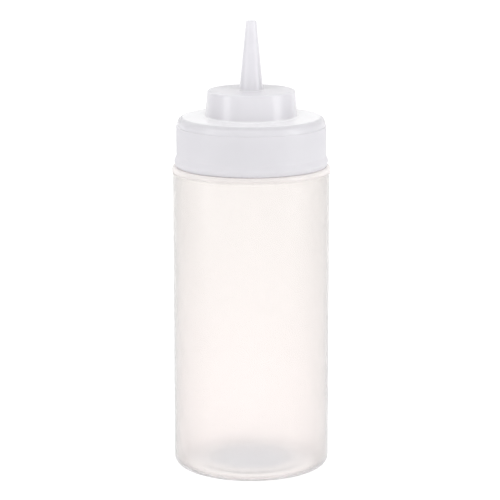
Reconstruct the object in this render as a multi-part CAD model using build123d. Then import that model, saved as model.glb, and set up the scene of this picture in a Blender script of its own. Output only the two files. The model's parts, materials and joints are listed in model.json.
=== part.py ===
from build123d import *
import os

# Wide-mouth squeeze bottle with a screw cap that carries a cone nozzle.
# Millimetres. +Z is up, and the origin is the centre of the standing ring's underside.

# ---- bottle ----
BODY_R = 35.0            # outside radius of the barrel
BODY_WALL = 1.0          # blow-moulded wall
BASE_ROUND = 4.0         # heel of the bottle, outside
STAND_IN_R = 27.0        # inner edge of the flat ring that the bottle stands on
BASE_STEP_R = 24.0       # where the pushed-up middle of the base begins
BASE_STEP = 0.9          # its height there
BASE_RISE = 2.2          # and at the axis
SHOULDER_Z = 137.15      # flat top of the shoulder
SHOULDER_ROUND = 1.2     # its outer corner
SHOULDER_DROP = 0.3      # the shoulder is this much lower inside, at the mouth
BEAD_LIP = 0.3           # the shoulder bead stands this far out of the barrel
BEAD_TALL = 4.0          # height of that bead
BEAD_BLEND = 1.5         # height over which the barrel widens to it
NECK_R = 30.0            # outside of the neck, between the threads
NECK_WALL = 1.8
RIM_Z = 155.9            # sealing rim

# ---- screw thread, 5 turns to the inch, right-handed ----
THREAD_LEAD = 5.08
THREAD_TURNS = 1.25
THREAD_TALL = 1.25       # radial height of a ridge
RIDGE_FOOT = 2.5         # axial width of a ridge at its foot
RIDGE_CREST = 0.9        # axial width at its crest
THREAD_LOW_Z = 146.9     # middle of the neck's ridge at its lower end
FLANK_DROP = 1.65        # the cap's ridge runs this far below the neck's
RAMP_DEG = 18.0          # slope of the ridge's run-out at both ends
RAMP_CUT = (6.0, 16.0, 4.0)  # the block that cuts a run-out: deep, long and tall
RIDGE_ROOT = 0.4         # how deep a ridge's foot is sunk in its wall
START_DEG = 40.0         # where both ridges start, counted round Z from +X

# ---- cap ----
SKIRT_LOW_Z = 137.3      # lower rim of the skirt
SKIRT_R = 33.4           # outside of the skirt
SKIRT_BORE_R = 31.9      # inside of the skirt, between the threads
GRIP_R = 34.4            # bead round the lower end of the skirt
GRIP_LOW_R = 33.7        # the skirt's outside at its lower rim
GRIP_Z = 139.5
GRIP_TOP_Z = 142.1
STEP_Z = 155.1           # small step under the top plate's edge
PLATE_R = 33.0
PLATE_Z = 159.3          # top plate
PLATE_ROUND = 3.2
PLATE_WALL = 1.6
STEP_ROUND = 0.2         # foot of the plate's edge, on the step
HUB_LOW_R = 20.5
HUB_TOP_R = 19.5
HUB_Z = 171.1
HUB_WALL = 1.4
NOZZLE_R = 5.3           # cone at the hub
TIP_R = 2.3              # cone at its end
TIP_Z = 201.8
BORE_LOW_R = 4.1
BORE_TIP_R = 1.2
TIP_LAND = 2.0           # straight end of the nozzle's bore
SEAL_LIP_R = 31.1        # undercut ridge that keeps the seal in the cap
SEAL_LIP_Z = 155.1
SEAL_LIP_RAMP = 0.8      # height of each of that ridge's two slopes

# ---- seal ----
SEAL_OUT_R = 31.4
SEAL_IN_R = 26.5
SEAL_WALL = 1.5
SEAL_GAP = 0.15          # to the rim below and to the plate above


def turned(outline):
    """A solid turned round Z from a closed outline of (radius, height, corner rounding) points."""
    face = make_face(Polyline(*[(r, z) for r, z, _ in outline], close=True))
    for r, z, rounding in outline:
        if rounding:
            corner = face.vertices().sort_by_distance((r, z, 0))[0]
            face = fillet(corner, rounding)
    return revolve(Plane.XZ * face, Axis.Z)


def ridge(foot_r, crest_r, low_z):
    """One thread ridge: a trapezium swept up a helix, with both ends run out into the wall."""
    inward = 1 if crest_r > foot_r else -1
    root_r = foot_r - inward * RIDGE_ROOT
    path = Helix(THREAD_LEAD, THREAD_LEAD * THREAD_TURNS, foot_r, center=(0, 0, low_z))
    start = Plane(origin=path @ 0, x_dir=(1, 0, 0), z_dir=path % 0)
    foot, crest = RIDGE_FOOT / 2, RIDGE_CREST / 2
    section = make_face(Polyline(
        (root_r - foot_r, -foot), (0, -foot), (crest_r - foot_r, -crest),
        (crest_r - foot_r, crest), (0, foot), (root_r - foot_r, foot), close=True))
    solid = sweep(start * section, path=path, is_frenet=True)
    block = Pos(inward * RAMP_CUT[0] / 2, 0, 0) * Box(*RAMP_CUT)
    for end, way in ((0, 1), (1, -1)):
        turns = THREAD_TURNS * end
        at_end = Rot(0, 0, 360 * turns) * Pos(foot_r, 0, low_z + THREAD_LEAD * turns)
        solid -= at_end * Rot(0, 0, -inward * way * RAMP_DEG) * block
    return Rot(0, 0, START_DEG) * solid


def bottle():
    inner_r = BODY_R - BODY_WALL
    bead_r = BODY_R + BEAD_LIP
    bead_low_z = SHOULDER_Z - BEAD_TALL
    bead_blend_z = bead_low_z + BEAD_BLEND
    mouth_r = NECK_R - NECK_WALL
    under_z = SHOULDER_Z - SHOULDER_DROP
    barrel = turned([
        (0, BASE_RISE, 0),
        (BASE_STEP_R, BASE_STEP, 3),
        (STAND_IN_R, 0, 1),
        (BODY_R, 0, BASE_ROUND),
        (BODY_R, bead_low_z, 4),
        (bead_r, bead_blend_z, 4),
        (bead_r, SHOULDER_Z, SHOULDER_ROUND),
        (NECK_R, SHOULDER_Z, 1.0),
        (NECK_R, RIM_Z, 0.5),
        (mouth_r, RIM_Z, 0.3),
        (mouth_r, under_z, 1.5),
        (bead_r - BODY_WALL, under_z - BODY_WALL, 0.8),
        (bead_r - BODY_WALL, bead_blend_z, 4),
        (inner_r, bead_low_z, 4),
        (inner_r, BODY_WALL, BASE_ROUND - BODY_WALL),
        (STAND_IN_R, BODY_WALL, 1),
        (BASE_STEP_R, BASE_STEP + BODY_WALL, 3),
        (0, BASE_RISE + BODY_WALL, 0),
    ])
    return barrel + ridge(NECK_R, NECK_R + THREAD_TALL, THREAD_LOW_Z)


def cap():
    under_z = PLATE_Z - PLATE_WALL
    hub_under_z = HUB_Z - HUB_WALL
    shell = turned([
        (SKIRT_BORE_R, SKIRT_LOW_Z, 0.3),
        (GRIP_LOW_R, SKIRT_LOW_Z, 0.3),
        (GRIP_R, GRIP_Z, 1.2),
        (SKIRT_R, GRIP_TOP_Z, 1.5),
        (SKIRT_R, STEP_Z, 0.15),
        (PLATE_R, STEP_Z, STEP_ROUND),
        (PLATE_R, PLATE_Z, PLATE_ROUND),
        (HUB_LOW_R, PLATE_Z, 0.8),
        (HUB_TOP_R, HUB_Z, 1.0),
        (NOZZLE_R, HUB_Z, 0.8),
        (TIP_R, TIP_Z, 0.4),
        (BORE_TIP_R, TIP_Z, 0.15),
        (BORE_TIP_R, TIP_Z - TIP_LAND, 0),
        (BORE_LOW_R, hub_under_z, 0.5),
        (HUB_TOP_R - HUB_WALL, hub_under_z, 1.0),
        (HUB_LOW_R - HUB_WALL, under_z, 0.6),
        (SKIRT_BORE_R, under_z, 0.6),
        (SKIRT_BORE_R, SEAL_LIP_Z + SEAL_LIP_RAMP, 0),
        (SEAL_LIP_R, SEAL_LIP_Z, 0.2),
        (SKIRT_BORE_R, SEAL_LIP_Z - SEAL_LIP_RAMP, 0),
    ])
    return shell + ridge(SKIRT_BORE_R, SKIRT_BORE_R - THREAD_TALL, THREAD_LOW_Z - FLANK_DROP)


def cap_seal():
    low_z = RIM_Z + SEAL_GAP
    return turned([
        (SEAL_IN_R, low_z, 0.2),
        (SEAL_OUT_R, low_z, 0.2),
        (SEAL_OUT_R, low_z + SEAL_WALL, 0.2),
        (SEAL_IN_R, low_z + SEAL_WALL, 0.2),
    ])


def volume_inside():
    """Room in the bottle up to the rim, in millilitres."""
    mouth_r = NECK_R - NECK_WALL
    inner_r = BODY_R - BODY_WALL
    under_z = SHOULDER_Z - SHOULDER_DROP
    hollow = turned([
        (0, BASE_RISE + BODY_WALL, 0),
        (BASE_STEP_R, BASE_STEP + BODY_WALL, 3),
        (STAND_IN_R, BODY_WALL, 1),
        (inner_r, BODY_WALL, BASE_ROUND - BODY_WALL),
        (inner_r, under_z - BODY_WALL, 1.6),
        (mouth_r, under_z, 1.5),
        (mouth_r, RIM_Z, 0),
        (0, RIM_Z, 0),
    ])
    return hollow.volume / 1000


os.makedirs("parts", exist_ok=True)
for name, make in (("bottle", bottle), ("cap", cap), ("cap_seal", cap_seal)):
    piece = make()
    piece.label = name
    export_step(piece, f"parts/{name}.step")
    box = piece.bounding_box()
    print(name, "volume", round(piece.volume, 1), "low", box.min, "high", box.max)
print("bottle holds", round(volume_inside()), "ml to the rim")
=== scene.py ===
# %% [markdown]
# # A translucent squeeze bottle with a cone nozzle
# A sauce bottle of this kind is three pieces: a blow-moulded bottle of soft natural polyethylene, a
# moulded cap that screws on its wide neck and ends in a cone nozzle, and a flat foam ring inside the cap
# that seals the rim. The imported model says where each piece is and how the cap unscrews. Here each piece
# gets a clean mesh and a finish of its own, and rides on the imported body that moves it.

import json
import math

import bmesh
import bpy
from mathutils import Matrix, Vector


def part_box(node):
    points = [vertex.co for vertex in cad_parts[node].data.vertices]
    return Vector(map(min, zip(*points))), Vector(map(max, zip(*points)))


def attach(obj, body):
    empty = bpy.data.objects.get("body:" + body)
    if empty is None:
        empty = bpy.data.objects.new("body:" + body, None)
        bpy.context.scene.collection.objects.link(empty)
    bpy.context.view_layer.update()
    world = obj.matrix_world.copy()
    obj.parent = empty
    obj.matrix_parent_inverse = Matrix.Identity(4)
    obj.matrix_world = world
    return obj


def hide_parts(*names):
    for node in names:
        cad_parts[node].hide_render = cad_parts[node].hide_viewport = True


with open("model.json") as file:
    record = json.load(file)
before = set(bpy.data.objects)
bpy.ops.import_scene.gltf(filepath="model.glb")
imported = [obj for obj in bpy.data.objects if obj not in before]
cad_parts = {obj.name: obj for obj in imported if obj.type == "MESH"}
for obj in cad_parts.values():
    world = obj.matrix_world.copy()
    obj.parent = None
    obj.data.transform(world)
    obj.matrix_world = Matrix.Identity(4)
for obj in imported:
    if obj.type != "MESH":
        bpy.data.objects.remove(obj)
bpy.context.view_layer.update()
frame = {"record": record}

# %% [markdown]
# ## Sizes
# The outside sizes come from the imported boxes: the bottle's rim, the cap's lowest and highest points and
# the seal's ring. The rest are the wall thicknesses and steps of the mouldings, given in millimetres as a
# mould maker would, and turned into metres by one factor.

# %% Sizes from the frame
MM = 0.001
mounts = {mount["name"]: mount for mount in frame["record"]["mounts"]}
bottle_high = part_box("bottle")[1]
cap_low, cap_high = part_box("cap")
seal_low, seal_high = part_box("cap_seal")
barrel_r = mounts["barrel"]["dims"]["r_mm"] * MM
bead_r = bottle_high.x
rim_z = bottle_high.z
skirt_low_z = cap_low.z
tip_z = cap_high.z
print("barrel radius", barrel_r, "rim", rim_z, "skirt from", skirt_low_z, "tip", tip_z)

# %% Sizes of the mouldings
wall = 1.0 * MM
neck_r = 30.0 * MM
neck_wall = 1.8 * MM
shoulder_z = rim_z - 18.75 * MM
stand_r = 27.0 * MM
base_rise = 2.2 * MM
skirt_r = 33.4 * MM
bore_r = 31.9 * MM
plate_z = tip_z - 42.5 * MM
hub_z = tip_z - 30.7 * MM
plate_wall = 1.6 * MM
hub_wall = 1.4 * MM
under_plate_z = plate_z - plate_wall
under_hub_z = hub_z - hub_wall
thread_lead = 5.08 * MM
thread_turns = 1.25
thread_tall = 1.25 * MM
print("shoulder", shoulder_z, "plate", plate_z, "hub", hub_z)

# %% [markdown]
# ## How a turned piece is made
# Both mouldings are round, so each starts as an outline of a few corners that is spun round the axis,
# which is what a lathe does. The corners stay sharp until the spin is closed. Then each ring that a
# corner left is bevelled by its own rounding, which keeps the outline short and gives true arcs. Spinning
# a closed wall, outside and inside in one outline, gives a shell with a real thickness, which a
# see-through plastic needs.

# %% A lathe and its roundings
STEPS = 144              # facets round the axis
ARC_STEPS = 1.6          # facets that a rounding gets for each millimetre of its radius, past the first 2
ON_RING = 1e-6           # metres within which a point lies on the ring that a corner left
MERGE = 1e-7             # metres within which two points are one


def rounding_cut(before, corner, after, rounding):
    """How far from the corner a fillet of that radius starts, along either side."""
    way_in = Vector((corner[0] - before[0], corner[1] - before[1]))
    way_out = Vector((after[0] - corner[0], after[1] - corner[1]))
    return rounding * math.tan(way_in.angle(way_out) / 2)


def round_ring(bm, before, corner, after):
    """Bevels the ring that one corner of the outline left, with a circular profile."""
    r, z, rounding = corner
    ring = [e for e in bm.edges
            if all(abs(v.co.xy.length - r) < ON_RING and abs(v.co.z - z) < ON_RING for v in e.verts)]
    cut = rounding_cut(before, corner, after, rounding)
    segments = 2 + round(rounding / MM * ARC_STEPS)
    bmesh.ops.bevel(bm, geom=ring, offset=cut, offset_type="OFFSET", affect="EDGES",
                    segments=segments, profile=0.5, material=-1)


def lathe(outline, closed):
    """A bmesh turned round Z from (radius, height, rounding) corners in metres."""
    bm = bmesh.new()
    dots = [bm.verts.new((r, 0, z)) for r, z, rounding in outline]
    for a, b in zip(dots, dots[1:]):
        bm.edges.new((a, b))
    if closed:
        bm.edges.new((dots[-1], dots[0]))
    bmesh.ops.spin(bm, geom=bm.verts[:] + bm.edges[:], cent=(0, 0, 0), axis=(0, 0, 1),
                   angle=math.tau, steps=STEPS, use_merge=True)
    bmesh.ops.remove_doubles(bm, verts=bm.verts, dist=MERGE)
    bmesh.ops.dissolve_degenerate(bm, edges=bm.edges, dist=MERGE)
    bmesh.ops.recalc_face_normals(bm, faces=bm.faces)
    for i, corner in enumerate(outline):
        if corner[2]:
            round_ring(bm, outline[i - 1], corner, outline[(i + 1) % len(outline)])
    return bm


facet = math.tau * barrel_r / STEPS
print("a turned piece has", STEPS, "facets, each", round(facet / MM, 2), "mm wide at the barrel")


# %% From a bmesh to a finished piece
def finished(name, bm, body, node):
    """Makes the object, with its place in its mesh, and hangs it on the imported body."""
    mesh = bpy.data.meshes.new(name)
    bm.to_mesh(mesh)
    bm.free()
    mesh.shade_smooth()
    piece = bpy.data.objects.new(name, mesh)
    bpy.context.scene.collection.objects.link(piece)
    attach(piece, body)
    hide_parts(node)
    print(name, "has", len(mesh.polygons), "faces")
    return piece


# %% [markdown]
# ## Screw threads
# The neck's thread is one rounded ridge that climbs a right-handed helix, five turns to the inch, and
# fades into the wall at both ends, as a mould cutter leaves it. A spin with a step along the axis sweeps
# the ridge's section, and its crest is then let down near the ends. A boolean union welds it to the wall,
# so that no hidden faces are left inside the see-through plastic.

# %% Sweep a thread ridge
START = math.radians(40)         # where both ridges start, round Z from +X
RIDGE_FOOT = 1.25 * MM           # half the ridge's width at its foot
RIDGE_CREST = 0.45 * MM          # and at its crest
SUNK = 0.4 * MM                  # how deep its foot is sunk in the wall
RUN_OUT = math.radians(7)        # the turn over which an end fades
DIP = 0.15                       # share of its height that an end goes below the wall
THREAD_LOW_Z = rim_z - 9.0 * MM  # middle of the neck's ridge at its lower end
FLANK_DROP = 1.65 * MM           # the cap's ridge runs this far below the neck's


def thread_ridge(foot_r, crest_r, low_z):
    """A ridge from foot_r to crest_r, outwards or inwards, with faded ends."""
    sunk_r = foot_r - math.copysign(SUNK, crest_r - foot_r)
    section = [(sunk_r, -RIDGE_FOOT), (foot_r, -RIDGE_FOOT), (crest_r, -RIDGE_CREST),
               (crest_r, RIDGE_CREST), (foot_r, RIDGE_FOOT), (sunk_r, RIDGE_FOOT)]
    bm = bmesh.new()
    face = bm.faces.new([bm.verts.new((r, 0, low_z + dz)) for r, dz in section])
    steps = round(STEPS * thread_turns)
    bmesh.ops.spin(bm, geom=[face], cent=(0, 0, 0), axis=(0, 0, 1), angle=math.tau * thread_turns,
                   dvec=(0, 0, thread_lead * thread_turns / steps), steps=steps)
    for v in bm.verts:
        angle = math.atan2(v.co.y, v.co.x) % math.tau
        turns = angle / math.tau + round((v.co.z - low_z) / thread_lead - angle / math.tau)
        left = min(turns, thread_turns - turns) * math.tau
        share = min(1, max(0, left / RUN_OUT))
        r = v.co.xy.length
        tall = r - foot_r
        if tall * (crest_r - foot_r) > 0:
            v.co.xy *= (foot_r + tall * (share - DIP * (1 - share))) / r
    bmesh.ops.holes_fill(bm, edges=[e for e in bm.edges if e.is_boundary])
    bmesh.ops.recalc_face_normals(bm, faces=bm.faces)
    bmesh.ops.rotate(bm, verts=bm.verts, cent=(0, 0, 0), matrix=Matrix.Rotation(START, 3, "Z"))
    print("ridge swept over", thread_turns, "turns,", len(bm.verts), "points")
    return bm


# %% Weld two shapes
def welded(shell, ridge):
    """The union of two closed bmeshes, as one bmesh."""
    objects = []
    for name, bm in (("shell", shell), ("ridge", ridge)):
        mesh = bpy.data.meshes.new(name)
        bm.to_mesh(mesh)
        bm.free()
        objects.append(bpy.data.objects.new(name, mesh))
        bpy.context.scene.collection.objects.link(objects[-1])
    union = objects[0].modifiers.new("weld", "BOOLEAN")
    union.operation = "UNION"
    union.solver = "EXACT"
    union.object = objects[1]
    depsgraph = bpy.context.evaluated_depsgraph_get()
    result = bmesh.new()
    result.from_object(objects[0], depsgraph)
    for made in objects:
        bpy.data.objects.remove(made)
    open_edges = sum(not e.is_manifold for e in result.edges)
    print("welded thread:", len(result.faces), "faces,", open_edges, "open edges")
    return result


# %% [markdown]
# ## The bottle
# Blow moulding gives one thin wall with soft corners everywhere. The bottle stands on a flat ring, the
# middle of its base is pushed up so that it doesn't rock, its heel is well rounded, and a low bead runs
# round the top of the barrel, just under the cap. The neck is thicker, because the mould holds it while
# it is blown.

# %% Make the bottle
heel_round = 4.0 * MM
base_step_r = stand_r - 3.0 * MM
base_step = 0.9 * MM
bead_tall = 4.0 * MM
bead_blend = 1.5 * MM
shoulder_drop = 0.3 * MM
bead_low_z = shoulder_z - bead_tall
bead_blend_z = bead_low_z + bead_blend
inner_r = barrel_r - wall
mouth_r = neck_r - neck_wall
under_shoulder_z = shoulder_z - shoulder_drop
bottle_outline = [
    (0, base_rise, 0),
    (base_step_r, base_step, 3 * MM),
    (stand_r, 0, 1 * MM),
    (barrel_r, 0, heel_round),
    (barrel_r, bead_low_z, 4 * MM),
    (bead_r, bead_blend_z, 4 * MM),
    (bead_r, shoulder_z, 1.2 * MM),
    (neck_r, shoulder_z, 1.0 * MM),
    (neck_r, rim_z, 0.5 * MM),
    (mouth_r, rim_z, 0.3 * MM),
    (mouth_r, under_shoulder_z, 1.5 * MM),
    (bead_r - wall, under_shoulder_z - wall, 0.8 * MM),
    (bead_r - wall, bead_blend_z, 4 * MM),
    (inner_r, bead_low_z, 4 * MM),
    (inner_r, wall, heel_round - wall),
    (stand_r, wall, 1 * MM),
    (base_step_r, base_step + wall, 3 * MM),
    (0, base_rise + wall, 0),
]
bottle_shell = lathe(bottle_outline, closed=False)
bottle_ridge = thread_ridge(neck_r, neck_r + thread_tall, THREAD_LOW_Z)
bottle = finished("squeeze_bottle", welded(bottle_shell, bottle_ridge),
                  "bottle", "bottle")

# %% [markdown]
# ## The cap
# The cap is injection moulded and thicker. Its skirt flares to a soft grip bead at the bottom, a small
# step marks where the mould parts under the top plate, and the hub and the cone nozzle are hollow. A
# ridge inside the skirt holds the foam ring in, and the thread below it pairs with the neck's.

# %% Make the cap
grip_r = skirt_r + 1.0 * MM
plate_r = skirt_r - 0.4 * MM
step_z = plate_z - 4.2 * MM
grip_low_r = grip_r - 0.7 * MM
grip_z = skirt_low_z + 2.2 * MM
grip_top_z = skirt_low_z + 4.8 * MM
hub_low_r = 20.5 * MM
hub_top_r = 19.5 * MM
nozzle_r = 5.3 * MM
tip_r = 2.3 * MM
nozzle_bore_r = 4.1 * MM
tip_bore_r = 1.2 * MM
tip_land = 2.0 * MM
lip_z = step_z
lip = 0.8 * MM
cap_outline = [
    (bore_r, skirt_low_z, 0.3 * MM),
    (grip_low_r, skirt_low_z, 0.3 * MM),
    (grip_r, grip_z, 1.2 * MM),
    (skirt_r, grip_top_z, 1.5 * MM),
    (skirt_r, step_z, 0.15 * MM),
    (plate_r, step_z, 0.2 * MM),
    (plate_r, plate_z, 3.2 * MM),
    (hub_low_r, plate_z, 0.8 * MM),
    (hub_top_r, hub_z, 1.0 * MM),
    (nozzle_r, hub_z, 0.8 * MM),
    (tip_r, tip_z, 0.4 * MM),
    (tip_bore_r, tip_z, 0.15 * MM),
    (tip_bore_r, tip_z - tip_land, 0),
    (nozzle_bore_r, under_hub_z, 0.5 * MM),
    (hub_top_r - hub_wall, under_hub_z, 1.0 * MM),
    (hub_low_r - hub_wall, under_plate_z, 0.6 * MM),
    (bore_r, under_plate_z, 0.6 * MM),
    (bore_r, lip_z + lip, 0),
    (bore_r - lip, lip_z, 0.2 * MM),
    (bore_r, lip_z - lip, 0),
]
cap_shell = lathe(cap_outline, closed=True)
cap_ridge = thread_ridge(bore_r, bore_r - thread_tall, THREAD_LOW_Z - FLANK_DROP)
cap = finished("nozzle_cap", welded(cap_shell, cap_ridge), "cap", "cap")

# %% [markdown]
# ## The seal
# A washer punched from foam sheet, 1.5 mm thick, rests between the rim and the cap's plate.

# %% Make the seal
seal_in_r = 26.5 * MM
seal_round = 0.2 * MM
seal_outline = [
    (seal_in_r, seal_low.z, seal_round),
    (seal_high.x, seal_low.z, seal_round),
    (seal_high.x, seal_high.z, seal_round),
    (seal_in_r, seal_high.z, seal_round),
]
seal = finished("foam_seal", lathe(seal_outline, closed=True), "seal", "cap_seal")


# %% [markdown]
# ## Shader maths
# A material is a tree of nodes. One small class wraps a node's output so that ordinary Python operators
# add the Math nodes, and one method adds any other node. That keeps a finish readable as a formula.

# %% A wrapped socket and a tree
class Value:
    """A node's output. Arithmetic on it adds Math nodes to the same tree."""

    def __init__(self, tree, socket):
        self.tree = tree
        self.socket = socket

    def math(self, operation, first, second):
        return self.tree.add("Math", {"operation": operation}, {0: first, 1: second})

    def __add__(self, other):
        return self.math("ADD", self, other)

    def __radd__(self, other):
        return self.math("ADD", other, self)

    def __sub__(self, other):
        return self.math("SUBTRACT", self, other)

    def __rsub__(self, other):
        return self.math("SUBTRACT", other, self)

    def __mul__(self, other):
        return self.math("MULTIPLY", self, other)

    def __rmul__(self, other):
        return self.math("MULTIPLY", other, self)

    def __truediv__(self, other):
        return self.math("DIVIDE", self, other)

    def __rpow__(self, other):
        return self.math("POWER", other, self)

    def along(self, x, y, z):
        """This vector with each of its parts multiplied."""
        return self.tree.add("VectorMath", {"operation": "MULTIPLY"}, {0: self, 1: (x, y, z)})


class Tree:
    """The node tree of a material or of the world."""

    def __init__(self, owner):
        owner.use_nodes = True
        self.nodes = owner.node_tree.nodes
        self.links = owner.node_tree.links
        self.nodes.clear()

    def add(self, kind, settings=None, inputs=None, output=0):
        """A new node with these settings and inputs, as one of its outputs where it has any."""
        node = self.nodes.new("ShaderNode" + kind)
        for key, value in (settings or {}).items():
            setattr(node, key, value)
        for key, value in (inputs or {}).items():
            if isinstance(value, Value):
                self.links.new(value.socket, node.inputs[key])
            else:
                node.inputs[key].default_value = value
        return Value(self, node.outputs[output]) if len(node.outputs) else node


# %% [markdown]
# ## Natural polyethylene
# Natural polyethylene is neither glass nor paint. Crystals in it too small to see scatter light, mostly
# forwards, so a thin wall blurs what is behind it: the floor stays white through the bottle, and the
# base, which is further from the front wall at the back, loses its edge. Some of the light is scattered
# on through the wall or back out of it, and the more of it the thicker the wall is and the more slanting
# the view.
#
# Plain transparency would show a sharp base, and a volume in the wall would be slow and couldn't be
# exported. So the wall is a Mix Shader between rough glass, which blurs, and a plastic, which hides. Its
# factor is the share of the view that one skin of the wall hides, from the haze of the wall and the slant
# that Layer Weight gives. The plastic is part satin skin, which reflects, and part Translucent, which
# shows the light behind it.

# %% What a wall of it shows
PLASTIC_IOR = 1.5
GRAZING = 0.12           # keeps a skin seen edge-on from hiding everything


def wall_shader(tree, slant, haze, skin, glass, glow, through, normal):
    """Rough glass where the view goes on through the skin, plastic where it doesn't."""
    hides = 1 - math.e ** (haze * -1 / (slant + GRAZING))
    glass = tree.add("BsdfPrincipled", {}, {"IOR": PLASTIC_IOR, "Transmission Weight": 1.0} | glass)
    skin = tree.add("BsdfPrincipled", {}, {"IOR": PLASTIC_IOR, "Normal": normal} | skin)
    inside = tree.add("BsdfTranslucent", {}, {"Color": glow, "Normal": normal})
    plastic = tree.add("MixShader", {}, {0: through, 1: skin, 2: inside})
    tree.add("OutputMaterial", {}, {"Surface": tree.add("MixShader", {}, {0: hides, 1: glass, 2: plastic})})


def squareness(tree):
    """1 where the surface is seen square on, 0 at its outline."""
    return 1 - tree.add("LayerWeight", {}, {"Blend": 0.5}, output="Facing")


def blend(tree, share, first, second):
    """A colour between two, by a share from 0 to 1."""
    return tree.add("Mix", {"data_type": "RGBA"}, {0: share, 6: first, 7: second}, output=2)


def rise(tree, of, start, end):
    """0 below start, 1 above end, and a smooth step between."""
    return tree.add("MapRange", {"interpolation_type": "SMOOTHSTEP"},
                    {0: of, 1: start, 2: end, 3: 0.0, 4: 1.0})


print("a skin of haze 0.1 hides", round(1 - math.exp(-0.1 / (1 + GRAZING)), 3), "of a square view")

# %% [markdown]
# ## Finish of the bottle
# The barrel is thin and looks warm. The shoulder and the neck are thicker, because the parison stretches
# least there, so they are hazier. The middle of the base, where the parison was pinched shut, is hazier
# and cooler too, and the ring round it is left clear and smooth. The greyer, cooler colour of that middle
# is partly its thicker plastic and partly painted shade, for the shaded floor under the bottle. Seen nearly
# edge-on the wall blurs less and draws a darker outline, in the lower half and under the heel: partly the
# longer path through the wall, and partly painted shade for the darker floor that the lower wall reflects.
# Slow clouds, drawn out along the bottle as the parison was, vary the wall, and a fine grain from the
# sand-blasted mould bumps its skin.
# Where each of these starts and ends, and how strong it is, was set one by one: none of it is a measured
# property of the plastic.

# %% Make the bottle's plastic
BARREL_HAZE = 0.05
NECK_HAZE = 1.5
BASE_HAZE = 0.25
BOTTLE_BLUR = 0.23
CLEARER = 0.18           # how much less the base blurs
HEEL_SHADE_SHARE = 0.5         # how much of the outline's tint the heel takes
SHOULDER_FADE = (shoulder_z - 3.0 * MM, shoulder_z - 1.0 * MM)  # heights
LOW_FADE = (3 * MM, 6 * MM)
OUTLINE_FADE = (50 * MM, 120 * MM)
TINT_FADE = (10 * MM, 130 * MM)
HEEL_FADE = (28 * MM, 31 * MM)                                  # radii
BASE_FADE = (12 * MM, 28 * MM)
HEEL_SLANT = (0.3, 0.8)                                         # 1 is square on, 0 edge-on
OUTLINE_SLANT = (0.12, 0.3)
BLUR_SLANT = (0.2, 0.7)
CLEAR_TINT = (1.0, 1.0, 1.0, 1)
LOW_TINT = (1.0, 0.962, 0.95, 1)
HIGH_TINT = (0.965, 0.94, 0.925, 1)
# This dark grey is painted shade, for the outline of the lower wall and the heel.
OUTLINE_PAINTED_SHADE = (0.45, 0.45, 0.5, 1)
# These three colours give the middle of the base a greyer, cooler look: partly its thicker plastic, partly
# painted shade for the shaded floor under the bottle.
COOL_SHADED_TINT = (0.93, 0.97, 1.0, 1)
WARM_SKIN = (0.94, 0.90, 0.885, 1)
COOL_SHADED_SKIN = (0.90, 0.93, 0.98, 1)
WARM_GLOW = (0.95, 0.915, 0.90, 1)
COOL_SHADED_GLOW = (0.92, 0.95, 1.0, 1)


def bottle_finish():
    material = bpy.data.materials.new("bottle_plastic")
    tree = Tree(material)
    place = tree.add("TexCoord", output="Object")
    height = tree.add("SeparateXYZ", {}, {0: place}, output="Z")
    across = tree.add("VectorMath", {"operation": "LENGTH"}, {0: place.along(1, 1, 0)}, output="Value")
    slant = squareness(tree)
    drawn = place.along(1, 1, 0.25)
    cloud = tree.add("TexNoise", {}, {"Vector": drawn, "Scale": 60.0, "Detail": 4.0, "Roughness": 0.55})
    grain = tree.add("TexNoise", {}, {"Vector": place, "Scale": 1100.0, "Detail": 3.0})
    normal = tree.add("Bump", {}, {"Strength": 0.12, "Distance": 0.02 * MM, "Height": grain})
    at_top = rise(tree, height, *SHOULDER_FADE)
    low = 1 - rise(tree, height, *LOW_FADE)
    on_heel = low * rise(tree, across, *HEEL_FADE)
    on_base = low - on_heel
    # The middle of the base is hazier, and its colour there is partly painted shade.
    thick_shaded_base = on_base * (1 - rise(tree, across, *BASE_FADE))
    # The glass is painted darker under the heel and along the lower outline: painted shade, partly for the
    # longer path through the wall at a slant and partly for the darker floor it reflects.
    heel_painted_shade = on_heel * (1 - rise(tree, slant, *HEEL_SLANT))
    outline = (1 - rise(tree, slant, *OUTLINE_SLANT)) * (1 - rise(tree, height, *OUTLINE_FADE))
    haze = BARREL_HAZE * (1 - on_base) * (1 + 0.2 * (cloud - 0.5))
    haze = haze + NECK_HAZE * at_top + BASE_HAZE * thick_shaded_base
    tint = blend(tree, rise(tree, height, *TINT_FADE), LOW_TINT, HIGH_TINT)
    tint = blend(tree, on_base, tint, CLEAR_TINT)
    tint = blend(tree, outline, tint, OUTLINE_PAINTED_SHADE)
    tint = blend(tree, heel_painted_shade * HEEL_SHADE_SHARE, tint, OUTLINE_PAINTED_SHADE)
    blur = (BOTTLE_BLUR - CLEARER * on_base) * (0.3 + 0.7 * rise(tree, slant, *BLUR_SLANT))
    wall_shader(
        tree, slant, haze,
        skin={"Base Color": blend(tree, thick_shaded_base, WARM_SKIN, COOL_SHADED_SKIN),
              "Roughness": 0.22 + 0.12 * (cloud - 0.5)},
        glass={"Base Color": blend(tree, thick_shaded_base, tint, COOL_SHADED_TINT), "Roughness": blur,
               "Coat Weight": 0.3, "Coat Roughness": 0.08},
        glow=blend(tree, thick_shaded_base, WARM_GLOW, COOL_SHADED_GLOW), through=0.5 - 0.35 * at_top, normal=normal)
    return material


bottle.data.materials.clear()
bottle.data.materials.append(bottle_finish())
print("bottle finish has", len(bottle.active_material.node_tree.nodes), "nodes")

# %% [markdown]
# ## Finish of the cap
# The cap is moulded solid and one and a half times as thick, so it hides nearly all of what is inside it.
# The mould's polish shows on the plate, the hub and the nozzle, and the skirt is left matt for the
# fingers. The plate is painted paler, and lets less of the dark inside show through it, which is painted
# light; its rounded rim is painted a little greyer, which is painted shade.

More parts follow.
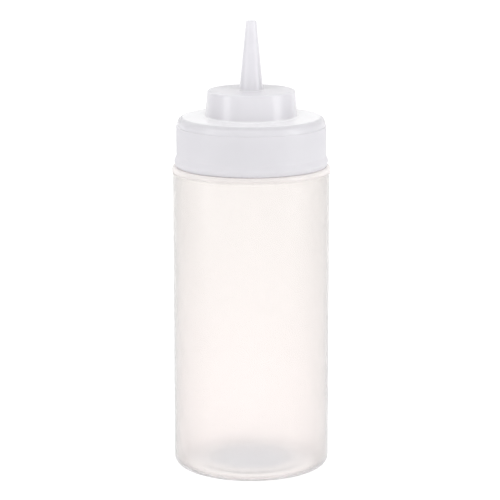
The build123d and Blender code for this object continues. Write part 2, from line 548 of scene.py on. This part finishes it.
# %% Make the cap's plastic
CAP_HAZE = 2.0
CAP_THROUGH = 0.33       # share of its plastic that shows the light behind it
PLATE_FADE = (plate_z - 0.3 * MM, plate_z - 0.02 * MM)  # heights
RIM_FADE = (plate_z - 2.0 * MM, plate_z - 1.0 * MM)
HUB_FADE = (plate_z + 0.3 * MM, plate_z + 1 * MM)
POLISH_FADE = (step_z - 0.5 * MM, step_z + 0.5 * MM)
# The plate's paler colour is painted light.
PLATE_PAINTED_LIGHT = (0.95, 0.945, 0.965, 1)
# The rim's greyer colour is painted shade.
RIM_PAINTED_SHADE = (0.82, 0.81, 0.84, 1)
CAP_SKIN = (0.88, 0.87, 0.905, 1)
CAP_SKIN_PALE = (0.90, 0.89, 0.92, 1)
CAP_GLOW = (0.95, 0.945, 0.965, 1)
CAP_TINT = (0.97, 0.97, 0.985, 1)


def cap_finish():
    material = bpy.data.materials.new("cap_plastic")
    tree = Tree(material)
    place = tree.add("TexCoord", output="Object")
    height = tree.add("SeparateXYZ", {}, {0: place}, output="Z")
    cloud = tree.add("TexNoise", {}, {"Vector": place, "Scale": 45.0, "Detail": 4.0, "Roughness": 0.55})
    grain = tree.add("TexNoise", {}, {"Vector": place, "Scale": 1400.0, "Detail": 3.0})
    normal = tree.add("Bump", {}, {"Strength": 0.3, "Distance": 0.015 * MM, "Height": grain})
    polished = rise(tree, height, *POLISH_FADE)
    below_hub = 1 - rise(tree, height, *HUB_FADE)
    at_plate = rise(tree, height, *PLATE_FADE)
    # On the plate's rounded rim the colour is painted greyer: painted shade.
    rim_painted_shade = rise(tree, height, *RIM_FADE) * (1 - at_plate) * below_hub
    # On the flat plate the colour is painted paler and less of the dark inside shows through: painted
    # light.
    plate_painted_light = at_plate * below_hub
    colour = blend(tree, plate_painted_light, blend(tree, cloud, CAP_SKIN, CAP_SKIN_PALE), PLATE_PAINTED_LIGHT)
    colour = blend(tree, rim_painted_shade, colour, RIM_PAINTED_SHADE)
    wall_shader(
        tree, squareness(tree), CAP_HAZE * (1 + 0.25 * (cloud - 0.5)),
        skin={"Base Color": colour, "Roughness": 0.45 - 0.27 * polished,
              "Coat Weight": 0.5 * polished, "Coat Roughness": 0.25, "Coat IOR": 1.8},
        glass={"Base Color": CAP_TINT, "Roughness": 0.5},
        glow=CAP_GLOW, through=CAP_THROUGH * (1 - 0.7 * plate_painted_light), normal=normal)
    return material


cap.data.materials.clear()
cap.data.materials.append(cap_finish())
print("cap finish has", len(cap.active_material.node_tree.nodes), "nodes")

# %% Finish of the seal
FOAM_DARK = (0.84, 0.84, 0.82, 1)
FOAM_LIGHT = (0.92, 0.92, 0.9, 1)


def foam(name):
    """Matt white foam with a fine closed-cell grain."""
    material = bpy.data.materials.new(name)
    tree = Tree(material)
    place = tree.add("TexCoord", output="Object")
    cells = tree.add("TexVoronoi", {}, {"Vector": place, "Scale": 2200.0})
    tone = blend(tree, cells, FOAM_DARK, FOAM_LIGHT)
    bump = tree.add("Bump", {}, {"Strength": 0.6, "Distance": 0.05 * MM, "Height": cells})
    skin = tree.add("BsdfPrincipled", {}, {"Base Color": tone, "Roughness": 0.8, "Normal": bump})
    tree.add("OutputMaterial", {}, {"Surface": skin})
    return material


seal.data.materials.clear()
seal.data.materials.append(foam("seal_foam"))
print("seal finish has", len(seal.active_material.node_tree.nodes), "nodes")

# %% [markdown]
# ## Studio
# White sweep, light from above and behind, and a tall soft box on each side: that is how clear plastic is
# shown, because it looks bright where it lets the sweep through and is drawn by the darker gaps between
# the lights. The sweep is a wide floor that gives nearly all of its own light, so that it stays white and
# lights the bottle from below, yet it still takes a faint shadow. It lies a hair under the bottle's ring,
# because with both at the same height the heel's line comes out jagged. To the camera the world is never
# darker than white, so that the background is white in every direction, while the piece itself is lit by
# the dimmer flanks too.

# %% Floor
FLOOR_R = 6.0
FLOOR_GLOW = 0.95
FLOOR_DROP = 0.05 * MM
PAPER = (0.2, 0.2, 0.2, 1)


def sweep():
    bm = bmesh.new()
    bmesh.ops.create_circle(bm, cap_ends=True, segments=96, radius=FLOOR_R)
    mesh = bpy.data.meshes.new("floor")
    bm.to_mesh(mesh)
    bm.free()
    floor = bpy.data.objects.new("floor", mesh)
    bpy.context.scene.collection.objects.link(floor)
    material = bpy.data.materials.new("sweep")
    tree = Tree(material)
    paper = tree.add("BsdfDiffuse", {}, {"Color": PAPER})
    glow = tree.add("Emission", {}, {"Color": (1, 1, 1, 1), "Strength": FLOOR_GLOW})
    tree.add("OutputMaterial", {}, {"Surface": tree.add("AddShader", {}, {0: paper, 1: glow})})
    mesh.materials.append(material)
    floor.location.z = -FLOOR_DROP
    print("floor radius", floor.dimensions.x / 2, "glow", FLOOR_GLOW)


sweep()


# %% World
FLANK = 0.15
BACK = 1.05
FRONT = 1.0
CEILING = 1.12
BACK_BAND = (0.45, 0.7)      # where each starts and is full, along +Y or +Z
FRONT_BAND = (0.0, -0.5)
CEILING_BAND = (0.3, 0.65)


def studio_world():
    """A bright ceiling and a bright back, dim flanks between them, and a middling front."""
    world = bpy.data.worlds.new("studio")
    bpy.context.scene.world = world
    tree = Tree(world)
    way = tree.add("TexCoord", output="Generated")
    parts = tree.add("SeparateXYZ", {}, {0: way}).socket.node
    deep, high = Value(tree, parts.outputs[1]), Value(tree, parts.outputs[2])
    light = FLANK + (BACK - FLANK) * rise(tree, deep, *BACK_BAND)
    light = light + (FRONT - FLANK) * rise(tree, deep, *FRONT_BAND)
    light = light + (CEILING - light) * rise(tree, high, *CEILING_BAND)
    seen = tree.add("LightPath", output="Is Camera Ray")
    strength = seen.math("MAXIMUM", seen, light)
    tree.add("OutputWorld", {}, {"Surface": tree.add("Background", {}, {0: (1, 1, 1, 1), 1: strength})})


studio_world()
print("world light: flanks", FLANK, "back", BACK, "front", FRONT, "ceiling", CEILING)


# %% Soft boxes
LIT_POINT = Vector((0, 0, 0.11))


def soft_box(name, azimuth, distance, height, size_x, size_y, watts):
    """A rectangular light on the upper barrel. Azimuth 0 is the camera's side, positive to the right."""
    lamp = bpy.data.lights.new(name, "AREA")
    lamp.shape = "RECTANGLE"
    lamp.size = size_x
    lamp.size_y = size_y
    lamp.energy = watts
    box = bpy.data.objects.new(name, lamp)
    bpy.context.scene.collection.objects.link(box)
    a = math.radians(azimuth)
    box.location = (math.sin(a) * distance, -math.cos(a) * distance, height)
    box.rotation_euler = (LIT_POINT - box.location).to_track_quat("-Z", "Y").to_euler()
    print(name, "at", tuple(round(c, 3) for c in box.location), "watts", watts)


soft_box("box_left", -66, 0.9, 0.3, 0.30, 0.8, 1.4)
soft_box("box_right", 70, 0.9, 0.3, 0.36, 0.8, 2.0)

# %% Camera
CAMERA_UP = math.radians(11.76)
CAMERA_AWAY = 1.124
AIM = Vector((-0.56 * MM, 0, 98.5 * MM))
lens = bpy.data.cameras.new("camera")
lens.lens = 180
lens.sensor_width = 36
lens.clip_start = 0.01
camera = bpy.data.objects.new("camera", lens)
bpy.context.scene.collection.objects.link(camera)
camera.location = AIM + CAMERA_AWAY * Vector((0, -math.cos(CAMERA_UP), math.sin(CAMERA_UP)))
camera.rotation_euler = (math.pi / 2 - CAMERA_UP, 0, 0)
bpy.context.scene.camera = camera
bpy.context.scene.view_settings.view_transform = "Standard"
bpy.context.scene.cycles.transparent_max_bounces = 48
print("camera at", tuple(round(c, 3) for c in camera.location))
